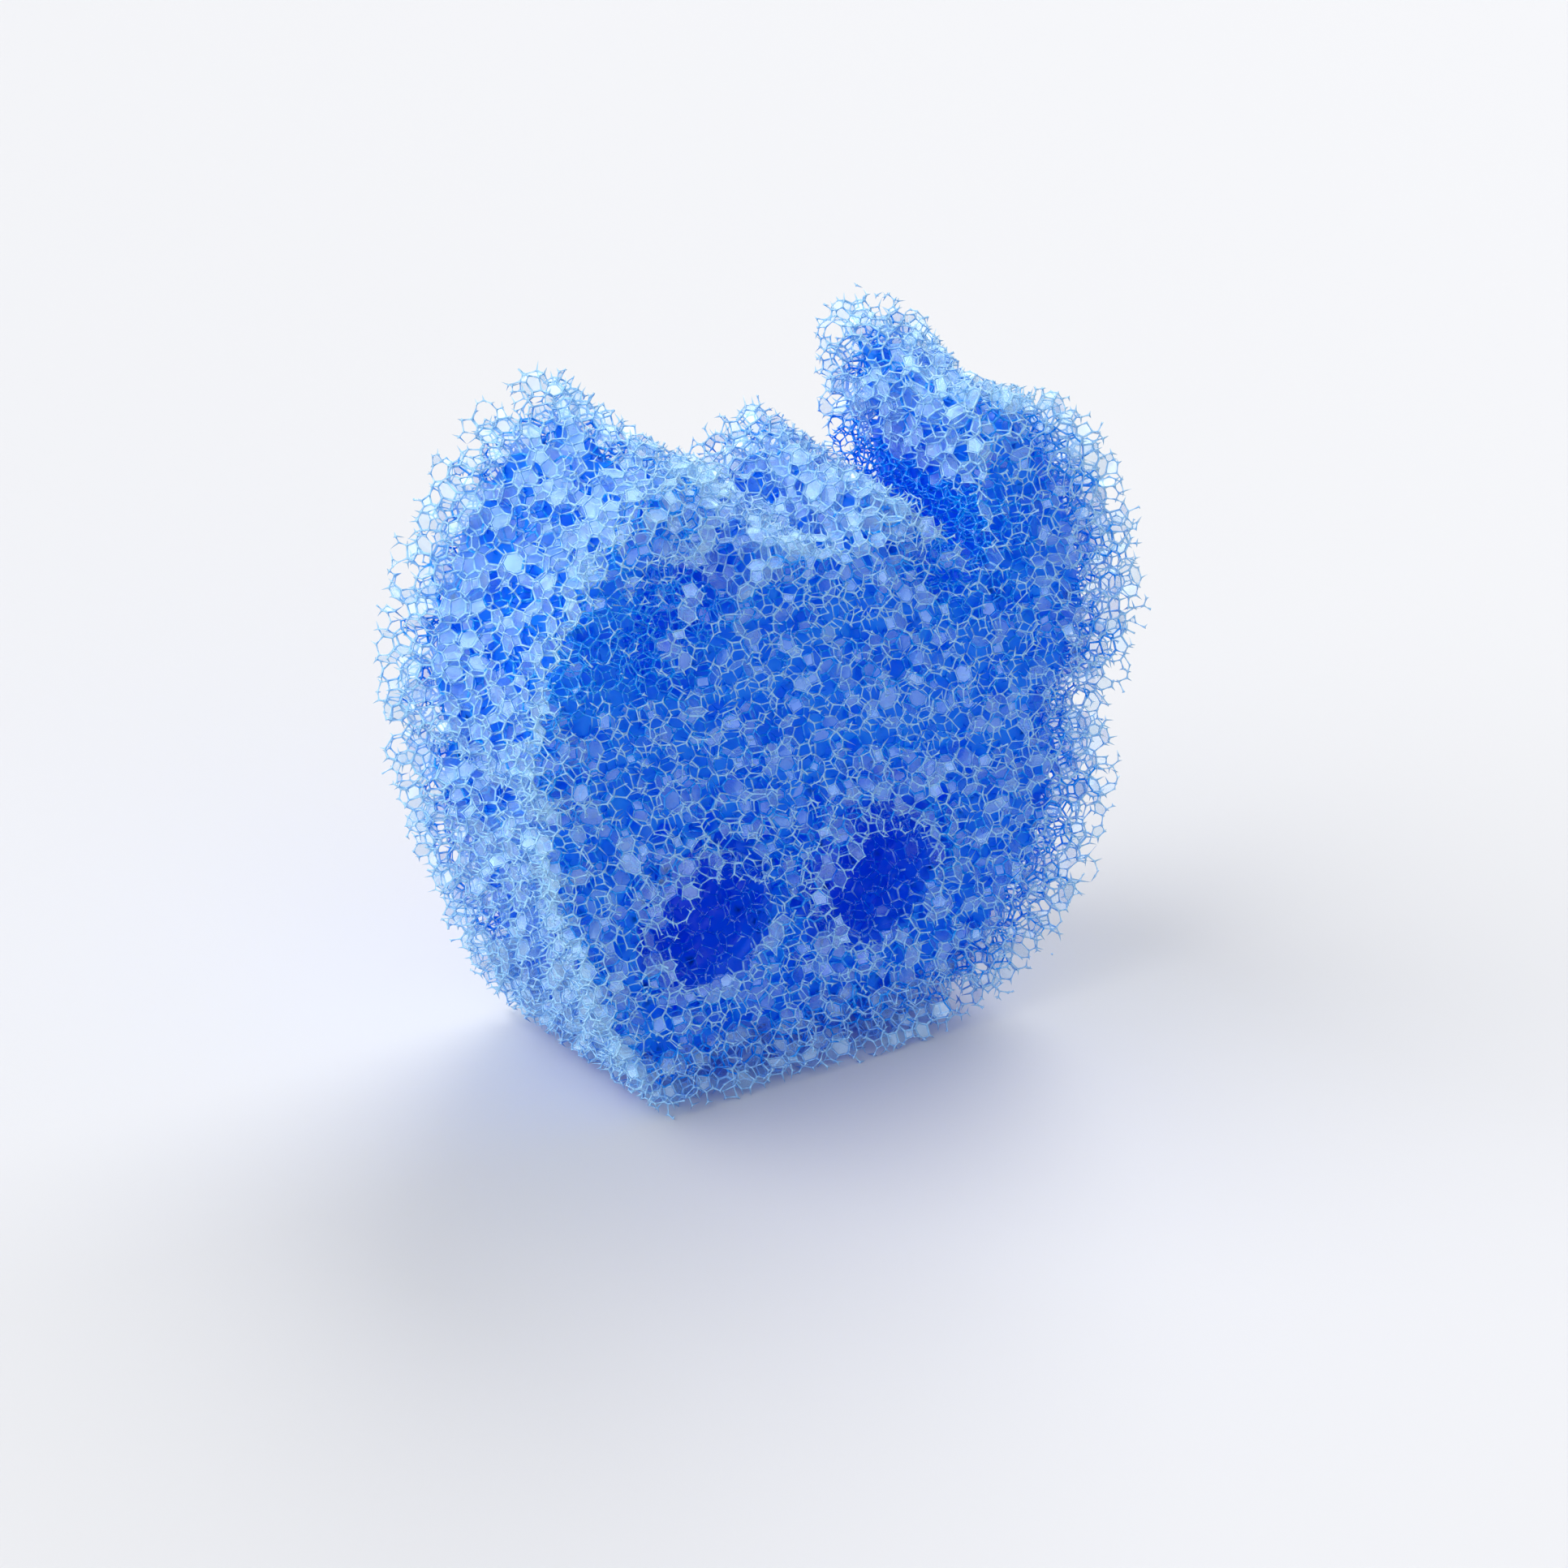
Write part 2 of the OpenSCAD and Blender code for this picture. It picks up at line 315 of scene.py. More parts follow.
def net_corners(points, near):
    """Groups of four points whose sphere holds no other, with its centre. The centre c from one point solves
    c . a = a . a / 2 for the offsets a of the other three."""
    threes = np.array(list(combinations(range(near.shape[1]), 3)))
    groups, middles = [], []
    for start in range(0, len(points), CHUNK):
        own = np.arange(start, min(start + CHUNK, len(points)))
        rows = near[own]
        offset = points[rows] - points[own][:, None]
        half = (offset ** 2).sum(axis=2) / 2
        later = rows > own[:, None]
        which, three = np.nonzero(later[:, threes].all(axis=2))
        picked = threes[three]
        a, b, c = (offset[which, picked[:, i]] for i in range(3))
        ha, hb, hc = (half[which, picked[:, i]][:, None] for i in range(3))
        bc = np.cross(b, c)
        scale = (a * bc).sum(axis=1)[:, None]
        middle = (ha * bc + hb * np.cross(c, a) + hc * np.cross(a, b)) / np.where(scale == 0, TINY, scale)
        small = (middle ** 2).sum(axis=1) < WIDEST ** 2
        which, picked, middle = which[small], picked[small], middle[small]
        empty = ((offset[which] * middle[:, None]).sum(axis=2) <= half[which] + EMPTY_SLACK).all(axis=1)
        which, picked = which[empty], picked[empty]
        groups.append(np.sort(np.column_stack([own[which], rows[which[:, None], picked]]), axis=1))
        middles.append(middle[empty] + points[own[which]])
    return np.concatenate(groups), np.concatenate(middles)


fours, joints = net_corners(centres, nearest(centres, NEAR))
print(len(joints), "corners where four bubbles meet")

# %% [markdown]
# Struts join the corners.
# Two corners that share three bubbles are the two ends of one strut. Each corner has four struts, one away
# from each of its bubbles. Sorting the shared threes puts both ends of a strut side by side. Surface tension
# then evens the net out, and moving each corner part of the way to the middle of its four neighbours does so.

# %% Struts
OTHERS = np.array([[j for j in range(4) if j != i] for i in range(4)])
EVEN_ROUNDS, EVEN_SHARE = 3, 0.5


def strut_ends(fours, count):
    """For each corner and each of its four struts, the corner at the far end and that corner's own number for
    the strut, or -1 where there is none."""
    shared = fours[:, OTHERS].astype(np.int64)
    keys = ((shared[..., 0] * count + shared[..., 1]) * count + shared[..., 2]).ravel()
    order = np.argsort(keys, kind="stable")
    same = np.nonzero(keys[order[1:]] == keys[order[:-1]])[0]
    one, other = order[same], order[same + 1]
    ends = np.full(len(keys), -1)
    ends[one], ends[other] = other, one
    return np.where(ends < 0, -1, ends // 4).reshape(-1, 4), np.where(ends < 0, -1, ends % 4).reshape(-1, 4)


far, far_slot = strut_ends(fours, len(centres))
closed = (far >= 0).all(axis=1)
for _ in range(EVEN_ROUNDS):
    middle = joints[far].mean(axis=1)
    joints = np.where(closed[:, None], joints + (middle - joints) * EVEN_SHARE, joints)
print(int((far >= 0).sum()) // 2, "struts, on average", round(float(np.linalg.norm(
    joints[far[closed]] - joints[closed][:, None], axis=2).mean()), 2), "mm long")

# %% [markdown]
# The knots.
# Where four struts meet, the foam is thickest. A knot is an octahedron: each of its six points reaches into
# one of the six openings round that corner, along the sum of the two struts that bound it. Four of its faces
# carry the struts and the other four look into the bubbles. A strut is then a three-sided bar between two
# such faces, with its edges towards the openings, as real foam has, and all of it is one closed skin.
# Knots grow stouter with depth. That closes the view into the foam little by little.

# %% Knot points
PAIRS = np.array(list(combinations(range(4), 2)))
PAIR_NUMBER = np.zeros((4, 4), int)
PAIR_NUMBER[PAIRS[:, 0], PAIRS[:, 1]] = PAIR_NUMBER[PAIRS[:, 1], PAIRS[:, 0]] = range(len(PAIRS))
STRUT_PAIRS = PAIR_NUMBER[OTHERS[:, [0, 0, 1]], OTHERS[:, [1, 2, 2]]]
CORNER_PAIRS = PAIR_NUMBER[np.arange(4)[:, None], OTHERS]
KNOT_R, DEEP_KNOT_R = 0.18, 0.25
LEAST_DEPTH, NET_OVERLAP = 0.05, 0.6


def lengths(vectors):
    """Length of each vector, never quite zero, so that one can divide by it."""
    return np.maximum(np.linalg.norm(vectors, axis=-1, keepdims=True), TINY)


kept = closed & (depth(joints) > LEAST_DEPTH) & (past_net(joints) < NET_OVERLAP)
reach = joints[far] - joints[:, None]
heading = reach / lengths(reach)
opening = heading[:, PAIRS[::-1, 0]] + heading[:, PAIRS[::-1, 1]]
opening /= lengths(opening)
knot_r = KNOT_R + (DEEP_KNOT_R - KNOT_R) * np.clip(depth(joints) / NET_DEEP, 0, 1)
knot_points = joints[:, None] + opening * knot_r[:, None, None]
print(int(kept.sum()), "knots kept")

# %% [markdown]
# Bars and tips.
# A strut between two kept knots is a bar. Near the surface it is waisted in the middle, because a strut of
# foam is thinnest there. Deeper down it is left plain, which saves half of its triangles.
# A strut that leaves the block was cut through: it ends in a tip on the cut face, found from the depths at
# its two ends. A strut that runs on below the net ends in a tip as well, out of sight.

# %% Bars and tips
SIDES = np.array([[0, 1], [0, 2], [1, 2]])
WAIST_DEEP = 1.3
WAIST = 0.6
SHORTEST_TIP = 0.25

start, slot = np.nonzero(kept[:, None] & (far >= 0))
end, end_slot = far[start, slot], far_slot[start, slot]
ring = start[:, None] * len(PAIRS) + STRUT_PAIRS[slot]
end_ring = end[:, None] * len(PAIRS) + STRUT_PAIRS[end_slot]
bubbles = fours[start[:, None], OTHERS[slot]]
bar = kept[end] & (start < end)
waisted = bar & (depth((joints[start] + joints[end]) / 2) < WAIST_DEEP)
plain = bar & ~waisted
tip = ~kept[end]

flat_points = knot_points.reshape(-1, 3)
ring_middle = (flat_points[ring[waisted]] + flat_points[end_ring[waisted]]) / 2
axis_middle = ring_middle.mean(axis=1, keepdims=True)
waist_points = (axis_middle + (ring_middle - axis_middle) * WAIST).reshape(-1, 3)
inside, outside = depth(joints[start[tip]]), depth(joints[end[tip]])
along = joints[end[tip]] - joints[start[tip]]
share = np.where(outside < 0, inside / (inside - np.minimum(outside, -TINY)), 1)
share = np.maximum(share, SHORTEST_TIP / np.linalg.norm(along, axis=1))
tip_points = joints[start[tip]] + along * share[:, None]

points = np.concatenate([flat_points, waist_points, tip_points])
waist_ring = len(flat_points) + np.arange(len(waist_points)).reshape(-1, 3)
tip_number = len(flat_points) + len(waist_points) + np.arange(len(tip_points))
print(int(waisted.sum()), "waisted bars,", int(plain.sum()), "plain ones and", int(tip.sum()), "tips")

# %% [markdown]
# The skin of the net.
# Every triangle looks at the bubble on its side of the strut, and is turned over where it doesn't.
# One mesh of all this would be too heavy to handle, so the net is divided by width into pieces with the same
# number of knots. A bar that crosses to the next piece belongs to its first knot, and both pieces are closed
# where they meet by the same small triangle.

# %% Skin of the net
PIECE_NAMES = ["foam_left", "foam_left_eye", "foam_middle", "foam_right_eye", "foam_right"]

limits = np.quantile(joints[kept, 0], np.linspace(0, 1, len(PIECE_NAMES) + 1)[1:-1])
part_of = np.searchsorted(limits, joints[:, 0])
skin, owner = [], []


def facing(faces, points, targets):
    """The triangles, turned over where their normal looks away from their targets."""
    a, b, c = (points[faces[:, i]] for i in range(3))
    away = (np.cross(b - a, c - a) * (targets - a)).sum(axis=1) < 0
    return np.where(away[:, None], faces[:, ::-1], faces)


def add_skin(faces, targets, knots):
    """Adds triangles that face their targets to the skin, each for the piece of its knot."""
    skin.append(facing(faces, points, targets))
    owner.append(part_of[knots])


def add_tube(ring, next_ring, bubbles, knots):
    """Adds a three-sided tube between two rings: two triangles for each side, facing that side's bubble."""
    for side, (m, n) in enumerate(SIDES):
        halves = [ring[:, m], ring[:, n], next_ring[:, n]], [ring[:, m], next_ring[:, n], next_ring[:, m]]
        for half in halves:
            add_skin(np.column_stack(half), centres[bubbles[:, side]], knots)


knots = np.nonzero(kept)[0]
for bubble in range(4):
    add_skin(knots[:, None] * len(PAIRS) + CORNER_PAIRS[bubble], centres[fours[knots, bubble]], knots)
add_tube(ring[plain], end_ring[plain], bubbles[plain], start[plain])
add_tube(ring[waisted], waist_ring, bubbles[waisted], start[waisted])
add_tube(waist_ring, end_ring[waisted], bubbles[waisted], start[waisted])
for side, (m, n) in enumerate(SIDES):
    faces = np.column_stack([ring[tip, m], ring[tip, n], tip_number])
    add_skin(faces, centres[bubbles[tip, side]], start[tip])
crossing = bar & (part_of[start] != part_of[end])
beyond = joints[end[crossing]] + heading[start[crossing], slot[crossing]] * CELL
add_skin(end_ring[crossing], beyond, start[crossing])
add_skin(end_ring[crossing], joints[start[crossing]], end[crossing])
skin, owner = np.concatenate(skin), np.concatenate(owner)
print(len(skin), "triangles in the net,", int(crossing.sum()), "bars cross between pieces")

# %% [markdown]
# Pale and deep foam, as painted light and shade.
# Light that gets in between the struts comes back bluer each time it passes the dyed plastic. This is
# painted: the struts near a cut wall or a face take a pale blue for the light there, and the ones behind them
# a full blue for the shade. Some places get little light and are painted blue nearly up to the surface, as
# shade: the eye holes, which have a darker painted shade of their own, and the two valleys beside the ears.
# A patch of the front face beside its left edge is painted darker in the same way.

# %% Make the pieces
# Depths under a wall and under a face within which the struts are painted pale, as lit.
LIT_UNDER_WALL, LIT_UNDER_FACE = 2.8, 1.1
RIM = 2
# Valleys where painted shade reaches up to the surface, and a patch beside the left edge of the front face
# that is painted darker.
VALLEYS, VALLEY_Z, VALLEY_R = (-29.1, 24.1), 75, 10
DARK_PATCH, DARK_PATCH_Z, DARK_PATCH_R, DARK_PATCH_RIM = (-42.5,), 75, 9.5, 0.5


def make_piece(name, points, faces, slots=None, smooth=True):
    """A mesh object, in metres, of the points that the faces use, with the material slot of each face."""
    used, number = np.unique(faces, return_inverse=True)
    sides = faces.shape[1]
    mesh = bpy.data.meshes.new(name)
    mesh.vertices.add(len(used))
    mesh.vertices.foreach_set("co", (points[used] * MM).astype(np.float32).ravel())
    mesh.loops.add(faces.size)
    mesh.loops.foreach_set("vertex_index", number.ravel().astype(np.int32))
    mesh.polygons.add(len(faces))
    mesh.polygons.foreach_set("loop_start", np.arange(0, faces.size, sides, dtype=np.int32))
    mesh.polygons.foreach_set("use_smooth", np.full(len(faces), smooth))
    if slots is not None:
        mesh.polygons.foreach_set("material_index", slots.astype(np.int32))
    mesh.update(calc_edges=True)
    piece = bpy.data.objects.new(name, mesh)
    bpy.context.scene.collection.objects.link(piece)
    print(name, len(faces) * (sides - 2), "triangles")
    return piece


def in_eye(points, beyond):
    """True for points behind the faces in an eye hole or that far beyond its wall."""
    return (from_axes(points, EYES, EYE_Z) < EYE_R + beyond) & (half_t - np.abs(points[:, 1]) > RIM)


def in_shade(points):
    """True for points that are painted darker: near the wall of an eye hole and low in the valley beside an
    ear, as painted shade, and in a patch behind the front face beside its left edge."""
    y = points[:, 1]
    valley_shade = (from_axes(points, VALLEYS, VALLEY_Z) < VALLEY_R) & (half_t - np.abs(y) > RIM)
    dark_patch = (from_axes(points, DARK_PATCH, DARK_PATCH_Z) < DARK_PATCH_R) & (wall_depth(points) > RIM)
    return in_eye(points, EYE_NET) | valley_shade | (dark_patch & (half_t + y > DARK_PATCH_RIM) & (y < 0))


# Struts near the surface get the painted light blue, deeper ones and the shaded places the painted shade blue,
# and the eye holes a darker painted shade.
under_face = np.minimum(half_t - np.abs(points[:, 1]), cell_gap(points))
painted_shade_point = ((wall_depth(points) > LIT_UNDER_WALL) & (under_face > LIT_UNDER_FACE)) | in_shade(points)
light_and_shade_slot = np.where(in_eye(points, EYE_NET)[skin].all(axis=1), 2, painted_shade_point[skin].all(axis=1))
foam_pieces = [
    make_piece(name, points, skin[owner == number], light_and_shade_slot[owner == number])
    for number, name in enumerate(PIECE_NAMES)]

# %% [markdown]
# The films.
# Some openings keep the thin skin that closed them while the foam grew. A film spans from knot to knot of
# its opening, so it is a fan of triangles from its middle to each strut of its rim, once for each side, and
# it bulges a little so that the two sides part and enclose a volume. Its triangles are shaded flat, because
# a film is creased and each crease sends the light another way.
# Films are put more often on the cut walls, as a painted sheen, and deep in the net, and seldom in the
# shaded places, as painted shade.

# %% Films
FILM_SHARE, FILM_SHARE_WALL_SHEEN, FILM_SHARE_SHADE, FILM_SHARE_DEEP = 0.26, 0.82, 0.06, 0.66
FILM_BULGE = 0.10
WIDEST_FILM = 9


def film_faces():
    """Points and triangles of the fans over a random share of the openings whose corners are all kept."""
    low_bubble, high_bubble = fours[:, PAIRS[:, 0]], fours[:, PAIRS[:, 1]]
    key = low_bubble.astype(np.int64) * len(centres) + high_bubble
    windows, first, window = np.unique(key.ravel(), return_index=True, return_inverse=True)
    corners_all = np.bincount(window)
    corners_kept = np.bincount(window, np.repeat(kept, len(PAIRS)))
    whole = (corners_all == corners_kept) & (corners_all <= WIDEST_FILM)
    middle = [np.bincount(window, np.repeat(joints[:, i], len(PAIRS))) for i in range(3)]
    middle = np.stack(middle, axis=1) / corners_all[:, None]
    sunk = np.clip(1 + past_net(middle) / NET_DEEP, 0, 1)
    share = np.where(wall_depth(middle) < LIT_UNDER_WALL, FILM_SHARE_WALL_SHEEN, FILM_SHARE)
    share = np.where(in_shade(middle), FILM_SHARE_SHADE, share + (FILM_SHARE_DEEP - share) * sunk ** 2)
    filled = whole & (rng.random(len(windows)) < share)
    across = centres[high_bubble.ravel()[first]] - centres[low_bubble.ravel()[first]]
    across /= lengths(across)
    fan_points = np.concatenate([points, middle + across * FILM_BULGE, middle - across * FILM_BULGE])
    found = []
    for k in range(3):
        rim, next_rim = ring[bar, k], end_ring[bar, k]
        opened = window[rim]
        chosen = filled[opened]
        rim, next_rim, opened = rim[chosen], next_rim[chosen], opened[chosen]
        for side, way in enumerate((CELL, -CELL)):
            cap = len(points) + side * len(windows) + opened
            faces = np.column_stack([rim, next_rim, cap])
            found.append(facing(faces, fan_points, middle[opened] + across[opened] * way))
    print(int(filled.sum()), "films in", int(whole.sum()), "whole openings")
    return fan_points, np.concatenate(found)


foam_films = make_piece("foam_films", *film_faces(), smooth=False)

# %% [markdown]
# The depth of the foam.
# Where the net ends, a closed surface takes over. It is found on a grid of points: wherever the sign changes
# between neighbours, each little cube gets one point at the middle of its crossings, and each crossed grid
# line joins four cubes in one face. Each bubble near that surface is first carved out of it as a ball, so the
# surface has the same hollows as the net in front of it. Round the eye holes it takes a darker blue, as
# painted shade for the little light that gets in there.

# %% Surface below the net
GRID_STEP, GRID_MARGIN = 1.15, 2
BALL_R = 1.5


def carve(field, corner, balls, radius):
    """The smaller of the field and the distance to each ball, at the grid points round that ball."""
    reach = int(radius / GRID_STEP) + 2
    steps = np.arange(-reach, reach + 1)
    window = np.stack(np.meshgrid(steps, steps, steps, indexing="ij"), axis=-1).reshape(-1, 3)
    node = np.round((balls - corner) / GRID_STEP).astype(int)[:, None] + window
    gap = np.linalg.norm(node * GRID_STEP + corner - balls[:, None], axis=2) - radius
    fits = ((node >= 0) & (node < field.shape)).all(axis=2)
    i, j, k = node[fits].T
    np.minimum.at(field, (i, j, k), gap[fits])
    return field


def surface_net(field, corner):
    """Points and quads of the surface where the field changes sign."""
    inside = field > 0
    cubes = np.array(field.shape) - 1
    total, hits = np.zeros((*cubes, 3)), np.zeros(cubes)
    for axis, others in enumerate(((1, 2), (0, 2), (0, 1))):
        for shift in ((0, 0), (0, 1), (1, 0), (1, 1)):
            first = [slice(None, -1)] * 3
            for other, s in zip(others, shift):
                first[other] = slice(s, s + cubes[other])
            second = list(first)
            second[axis] = slice(1, None)
            one, two = field[tuple(first)], field[tuple(second)]
            crossed = (one > 0) != (two > 0)
            spot = np.zeros((*cubes, 3))
            spot[..., axis] = one / np.where(crossed, one - two, 1)
            for other, s in zip(others, shift):
                spot[..., other] = s
            total += spot * crossed[..., None]
            hits += crossed
    number = np.full(cubes, -1)
    number[hits > 0] = np.arange(int((hits > 0).sum()))
    places = np.argwhere(hits > 0) + total[hits > 0] / hits[hits > 0][:, None]
    quads = []
    for axis, (u, v) in enumerate(((1, 2), (2, 0), (0, 1))):
        one = np.moveaxis(inside, axis, 0)
        crossed = np.moveaxis(one[:-1] != one[1:], 0, axis)
        spots = np.argwhere(crossed)
        spots = spots[((spots[:, [u, v]] > 0) & (spots[:, [u, v]] < cubes[[u, v]])).all(axis=1)]
        back_u, back_v = np.eye(3, dtype=int)[u], np.eye(3, dtype=int)[v]
        steps = (0, back_u, back_u + back_v, back_v)
        quad = np.stack([number[tuple((spots - step).T)] for step in steps], axis=1)
        enters = inside[tuple((spots + np.eye(3, dtype=int)[axis]).T)]
        quads.append(np.where(enters[:, None], quad[:, ::-1], quad))
    return places * GRID_STEP + corner, np.concatenate(quads)


grid_corner = low - GRID_MARGIN * GRID_STEP
grid_shape = ((high - low) / GRID_STEP).astype(int) + 2 * GRID_MARGIN + 1
grid = np.stack(np.meshgrid(*[np.arange(n) for n in grid_shape], indexing="ij"), axis=-1).reshape(-1, 3)
grid_field = past_net(grid * GRID_STEP + grid_corner).reshape(grid_shape)
shallow = centres[np.abs(past_net(centres)) < BALL_R]
grid_field = carve(grid_field, grid_corner, shallow, BALL_R)
depth_points, depth_quads = surface_net(grid_field, grid_corner)
# Quads round the eye holes take the darker painted shade.
dark = in_eye(depth_points, EYE_NET + BALL_R)[depth_quads].any(axis=1)
foam_depth = make_piece("foam_depth", depth_points, depth_quads, dark)

# %% [markdown]
# Shader arithmetic.
# A number that varies over a surface is a socket. Wrapping it in a small class lets a material be written as
# sums and products in Python, and each of them adds one Math node. Any other node comes from one method.

# %% Small helpers for materials
class Number:
    """A socket with a number. Arithmetic on it adds Math nodes."""

    def __init__(self, tree, socket):
        self.tree, self.socket = tree, socket

    def math(self, operation, *values):
        node = self.tree.nodes.new("ShaderNodeMath")
        node.operation = operation
        for slot, value in zip(node.inputs, values):
            if isinstance(value, Number):
                self.tree.links.new(value.socket, slot)
            else:
                slot.default_value = value
        return Number(self.tree, node.outputs[0])

    def __add__(self, other):
        return self.math("ADD", self, other)

    def __mul__(self, other):
        return self.math("MULTIPLY", self, other)


class Finish:
    """A material or world under construction."""

    def __init__(self, owner):
        owner.use_nodes = True
        self.owner, self.tree = owner, owner.node_tree
        self.tree.nodes.clear()

    def node(self, kind, settings=(), **values):
        """Adds a node of that type, sets its settings and then its sockets. A socket goes by its name, with _
        for a space, or by its number after an i."""
        node = self.tree.nodes.new(kind)
        for name, value in dict(settings).items():
            setattr(node, name, value)
        for name, value in values.items():
            by_number = name[0] == "i" and name[1:].isdigit()
            slot = node.inputs[int(name[1:]) if by_number else name.replace("_", " ")]
            value = getattr(value, "socket", value)
            if isinstance(value, bpy.types.NodeSocket):
                self.tree.links.new(value, slot)
            else:
                slot.default_value = value
        return node

    def number(self, node, output=0):
        return Number(self.tree, node.outputs[output])

    def shine(self, kind, **values):
        """Ends the tree with a shader of that type on its output."""
        shader = self.node(kind, **values)
        self.node("ShaderNodeOutputMaterial", Surface=shader.outputs[0])
        return self.owner


# %% [markdown]
# The blue of the foam.
# The foam is clear plastic with a blue dye. A strut is glossy, so it sends back a small bright line from its
# surface, and what gets into it comes out blue. Light goes from strut to strut many times, more often than
# the renderer follows it, and a faint blue glow, painted on the struts and the depth, stands for the rest. The
# films are so thin that they hardly have a colour: they mirror the pale surroundings, and most of what lies
# behind them shows through.

# %% Foam finish
# The outer blue is painted light and the inner blue painted shade on one and the same plastic; the eye blue is
# a darker painted shade.
OUTER_LIT_BLUE, INNER_SHADE_BLUE, EYE_SHADE_BLUE = (0.38, 0.73, 0.94), (0.0, 0.38, 0.98), (0.0, 0.17, 0.86)
# The depth surface is painted dark blue as shade for the light lost below the net, and darker still round the
# eye holes.
DEPTH_SHADE_BLUE, EYE_DEPTH_SHADE_BLUE = (0.005, 0.25, 0.92), (0.0, 0.11, 0.82)
FILM_PALE = (0.54, 0.80, 1.0)
FILM_ROUGH, FILM_COVER = 0.5, 0.2
PAINTED_GLOW_BLUE = (0.0, 0.10, 1.0)
# Emission Strength gives the struts and the depth surface a painted blue glow.
STRUT_LOOK = {"Roughness": 0.18, "IOR": 1.8, "Emission_Strength": 0.12}
DEPTH_LOOK = {"Roughness": 0.4, "IOR": 1.3, "Emission_Strength": 0.10}


def foam_finish(name, blue, look):
    """Dyed plastic of that blue, with its gloss and a painted glow."""
    return Finish(bpy.data.materials.new(name)).shine(
        "ShaderNodeBsdfPrincipled", Base_Color=(*blue, 1), Emission_Color=(*PAINTED_GLOW_BLUE, 1), **look)


def film_finish():
    """A mirror of soft sheen that covers only part of what lies behind it."""
    return Finish(bpy.data.materials.new("foam_film")).shine(
        "ShaderNodeBsdfPrincipled", Base_Color=(*FILM_PALE, 1), Metallic=1,
        Roughness=FILM_ROUGH, Alpha=FILM_COVER)


strut_light_and_shade_blues = [foam_finish(name, blue, STRUT_LOOK) for name, blue in (
    ("foam_outer_lit", OUTER_LIT_BLUE), ("foam_inner_shade", INNER_SHADE_BLUE), ("foam_eye_shade", EYE_SHADE_BLUE))]
for piece in foam_pieces:
    for finish in strut_light_and_shade_blues:
        piece.data.materials.append(finish)
foam_films.data.materials.append(film_finish())
foam_depth.data.materials.append(foam_finish("foam_depth", DEPTH_SHADE_BLUE, DEPTH_LOOK))
foam_depth.data.materials.append(foam_finish("foam_eye_depth_shade", EYE_DEPTH_SHADE_BLUE, DEPTH_LOOK))
print("struts in", len(strut_light_and_shade_blues), "blues")

# %% [markdown]
# Floor and light.
# A pale floor runs out past the camera's view. Three wide lamps stand round the sponge. As the camera sees
# it, a strong one is on the left, one is behind it and throws the soft shadow forward, and a weak one is
# beside the camera. The surroundings add a little even light. The camera, and rays that come off a glossy
# face or through a clear one, see them as a pale backdrop instead. In gloss that backdrop is brighter towards
# the lit side: its strength is one plus the dot product of the direction looked in and that of the lit side.

# %% Floor
FLOOR_PALE, FLOOR_ROUGH = (0.765, 0.77, 0.79), 0.6
FLOOR_R = 3.0
FLOOR_CORNERS = 64


def pale_floor():
    """A flat disc under the sponge, as one ring of corners."""
    turn = np.linspace(0, 2 * np.pi, FLOOR_CORNERS, endpoint=False)
    ring = np.column_stack([np.cos(turn), np.sin(turn), np.zeros(FLOOR_CORNERS)]) * FLOOR_R
    mesh = bpy.data.meshes.new("floor")
    mesh.from_pydata(ring, [], [list(range(FLOOR_CORNERS))])
    mesh.materials.append(Finish(bpy.data.materials.new("floor_pale")).shine(
        "ShaderNodeBsdfPrincipled", Base_Color=(*FLOOR_PALE, 1), Roughness=FLOOR_ROUGH))
    floor = bpy.data.objects.new("floor", mesh)
    bpy.context.scene.collection.objects.link(floor)


pale_floor()
print("floor of", FLOOR_R, "m radius")

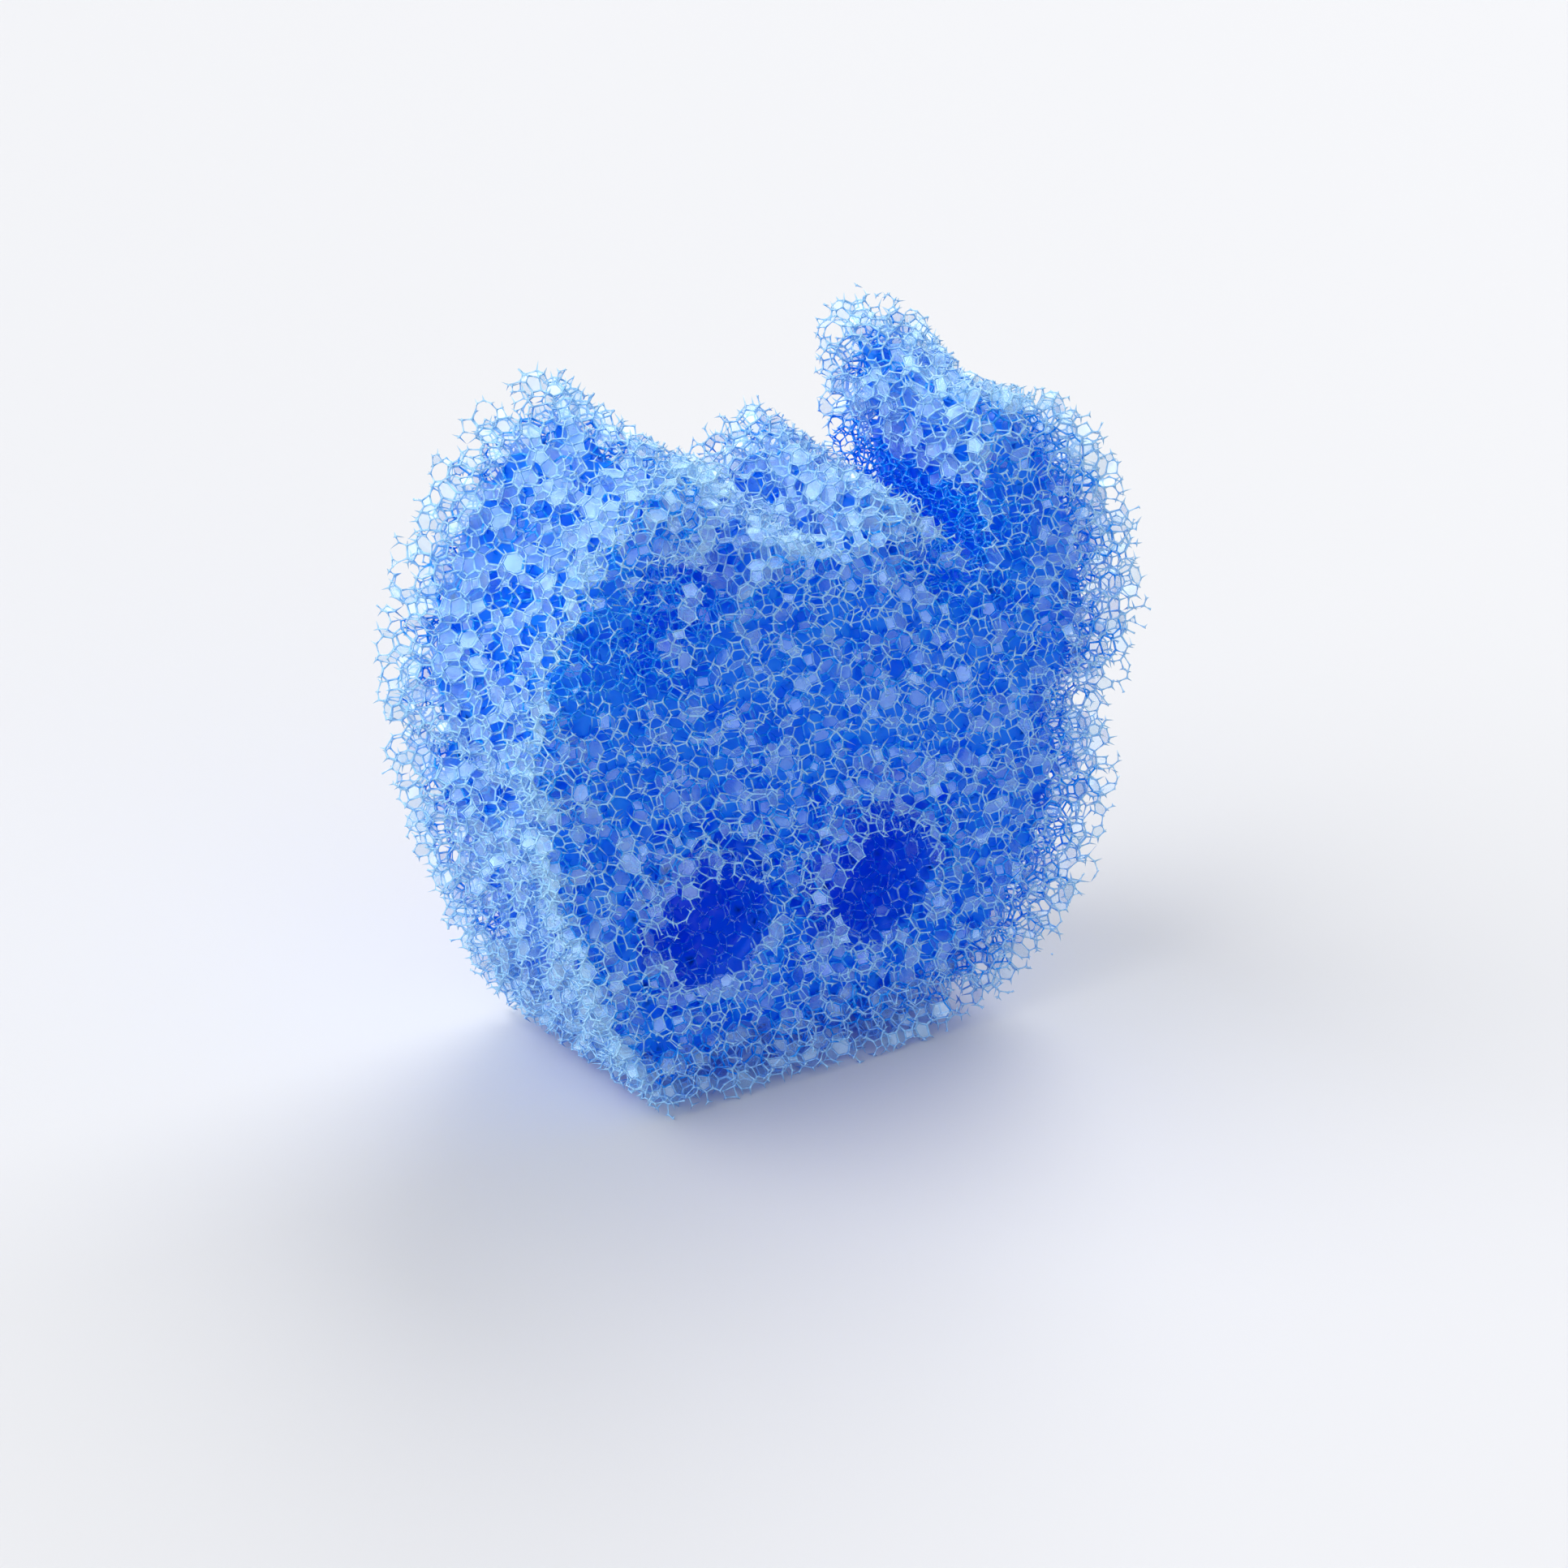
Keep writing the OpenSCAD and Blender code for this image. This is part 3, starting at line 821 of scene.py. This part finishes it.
# %% Lamps and surroundings
BACKDROP_PALE = (0.90, 0.92, 1.0)
LIT_SIDE = (-0.6, 0.4, 0.7)
SKY_LIGHT = 0.28
LAMPS = {"key": (1.9, 56, -105, 42), "fill": (1.6, 50, 120, 38), "front": (0.45, 70, -35, 25)}


def sun(name, strength, width, bearing, height):
    """A lamp at an endless distance, with its width, bearing and height in degrees."""
    lamp = bpy.data.objects.new(name, bpy.data.lights.new(name, "SUN"))
    lamp.data.energy, lamp.data.angle = strength, math.radians(width)
    lamp.rotation_euler = (math.radians(90 - height), 0, math.radians(bearing))
    bpy.context.scene.collection.objects.link(lamp)


def surroundings():
    """Even light all round, which the camera, gloss and glass see as the pale backdrop."""
    world = bpy.data.worlds.new("studio")
    bpy.context.scene.world = world
    finish = Finish(world)
    path = finish.node("ShaderNodeLightPath")
    seen = finish.number(path, "Is Camera Ray")
    for kind in ("Is Glossy Ray", "Is Transmission Ray"):
        seen = seen.math("MAXIMUM", seen, finish.number(path, kind))
    light = finish.node("ShaderNodeBackground", Color=(1, 1, 1, 1), Strength=SKY_LIGHT)
    toward = finish.node("ShaderNodeTexCoord").outputs["Generated"]
    lean = finish.number(
        finish.node("ShaderNodeVectorMath", {"operation": "DOT_PRODUCT"}, i0=toward, i1=LIT_SIDE), "Value")
    strength = lean * finish.number(path, "Is Glossy Ray") + 1
    backdrop = finish.node("ShaderNodeBackground", Color=(*BACKDROP_PALE, 1), Strength=strength)
    mixed = finish.node("ShaderNodeMixShader", i0=seen, i1=light.outputs[0], i2=backdrop.outputs[0])
    finish.node("ShaderNodeOutputWorld", Surface=mixed.outputs[0])


surroundings()
for name, lamp in LAMPS.items():
    sun(name, *lamp)
print("lamps:", ", ".join(LAMPS))

# %% [markdown]
# Hand over.
# The pieces ride on the one body and stand for the imported solid, which is hidden.
# Foam is soft, and light needs many bounces to get out of it again.

# %% Ride, replace and finish
BOUNCES, GLOSS_BOUNCES = 16, 12
for piece in (*foam_pieces, foam_films, foam_depth):
    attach(piece, "root")
    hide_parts("sponge_body")

scene = bpy.context.scene
scene.view_settings.view_transform = "Standard"
scene.cycles.max_bounces = scene.cycles.diffuse_bounces = BOUNCES
scene.cycles.glossy_bounces = GLOSS_BOUNCES
